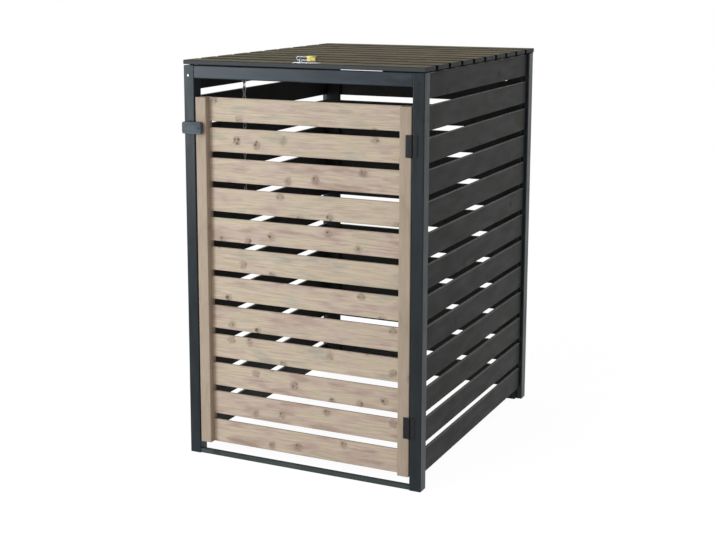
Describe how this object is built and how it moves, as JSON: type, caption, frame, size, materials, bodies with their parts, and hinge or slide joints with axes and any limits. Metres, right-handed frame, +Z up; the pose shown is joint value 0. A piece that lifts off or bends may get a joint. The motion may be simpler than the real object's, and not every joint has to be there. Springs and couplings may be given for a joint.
{
  "type": "wheelie bin store",
  "caption": "Slatted timber store for a wheelie bin, with a pale front door on butt hinges, a turn latch, and a slatted lid that lifts on back hinges and carries a hook chain and a padlock.",
  "frame": {"origin": "middle of the ground face of the whole part's bounding box", "axes": "+Z up, -Y towards the front with the door, +X to the viewer's right when facing the door"},
  "size_m": [0.729, 0.9498, 1.1719],
  "materials": {
    "frame_timber": "planed softwood with a slate grey wood paint",
    "panel_timber": "planed softwood slats with a slate grey wood paint",
    "stile_timber": "planed softwood with a pale taupe wood stain",
    "door_timber": "planed softwood slats with a pale taupe wood stain, knots showing",
    "lid_timber": "weathered olive brown softwood slats",
    "batten_timber": "planed softwood with a slate grey wood paint",
    "latch_timber": "thickly painted hardwood, slate grey",
    "ground_strip": "painted softwood strip, slightly dusty",
    "bumper_rubber": "black rubber",
    "painted_hinge": "steel painted over in slate grey",
    "zinc_plate": "bright zinc-plated steel",
    "screw_zinc": "zinc-plated steel screws",
    "chain_zinc": "zinc-plated welded wire",
    "padlock_brass": "polished brass",
    "shackle_steel": "plated hardened steel"
  },
  "bodies": {
    "frame": {"post_front_left": "frame_timber", "post_front_right": "frame_timber", "post_back_left": "frame_timber", "post_back_right": "frame_timber", "front_top_rail": "frame_timber", "front_ground_strip": "ground_strip", "left_side_slats": "panel_timber", "right_side_slats": "panel_timber", "back_slats": "panel_timber", "back_upright_left": "frame_timber", "back_upright_right": "frame_timber", "lid_bumpers": "bumper_rubber", "door_hinge_post_leaves": "painted_hinge", "door_hinge_pins": "painted_hinge", "frame_screws": "screw_zinc", "lid_hinge_post_leaves": "zinc_plate", "lid_hinge_pins": "zinc_plate", "lid_hinge_post_screws": "screw_zinc"},
    "door": {"door_stile_left": "stile_timber", "door_stile_right": "stile_timber", "door_slat_01": "door_timber", "door_slat_02": "door_timber", "door_slat_03": "door_timber", "door_slat_04": "door_timber", "door_slat_05": "door_timber", "door_slat_06": "door_timber", "door_slat_07": "door_timber", "door_slat_08": "door_timber", "door_slat_09": "door_timber", "door_slat_10": "door_timber", "door_slat_11": "door_timber", "door_slat_12": "door_timber", "door_hinge_stile_leaves": "painted_hinge", "door_hinge_screws": "screw_zinc", "latch_washer": "screw_zinc", "latch_screw": "screw_zinc"},
    "lid": {"lid_slat_01": "lid_timber", "lid_slat_02": "lid_timber", "lid_slat_03": "lid_timber", "lid_slat_04": "lid_timber", "lid_slat_05": "lid_timber", "lid_slat_06": "lid_timber", "lid_slat_07": "lid_timber", "lid_slat_08": "lid_timber", "lid_slat_09": "lid_timber", "lid_slat_10": "lid_timber", "lid_batten_left": "batten_timber", "lid_batten_right": "batten_timber", "lid_hinge_lid_leaves": "zinc_plate", "lid_hinge_lid_screws": "screw_zinc", "chain_eye": "chain_zinc", "staple_plate": "zinc_plate", "plate_screws": "screw_zinc"},
    "chain": {"chain_links": "chain_zinc", "chain_hook": "chain_zinc"},
    "latch": {"latch_block": "latch_timber"},
    "shackle": {"padlock_shackle": "shackle_steel"},
    "padlock": {"padlock_body": "padlock_brass"}
  },
  "joints": [
    {"name": "door_hinge", "type": "hinge", "parent": "frame", "child": "door", "pos_m": [0.3295, -0.4598, 0.56075], "axis": [0, 0, 1], "range_deg": [0, 180]},
    {"name": "lid_hinge", "type": "hinge", "parent": "frame", "child": "lid", "pos_m": [0, 0.4718, 1.1368], "axis": [-1, 0, 0], "range_deg": [0, 95]},
    {"name": "chain_swing", "type": "hinge", "parent": "lid", "child": "chain", "pos_m": [-0.2425, -0.327, 1.1071], "axis": [-1, 0, 0], "range_deg": [-90, 0]},
    {"name": "latch_turn", "type": "hinge", "parent": "door", "child": "latch", "pos_m": [-0.311, -0.4652, 0.962], "axis": [0, 1, 0], "range_deg": [-90, 90]},
    {"name": "padlock_swing", "type": "hinge", "parent": "lid", "child": "shackle", "pos_m": [-0.0065, -0.435, 1.1594], "axis": [1, 0, 0], "range_deg": [-90, 90]},
    {"name": "padlock_pull", "type": "slide", "parent": "shackle", "child": "padlock", "axis": [1, 0, 0], "range_m": [0, 0.006]}
  ],
  "couplings": [
    {"joint": "chain_swing", "follows": "lid_hinge", "ratio": -0.94737}
  ]
}
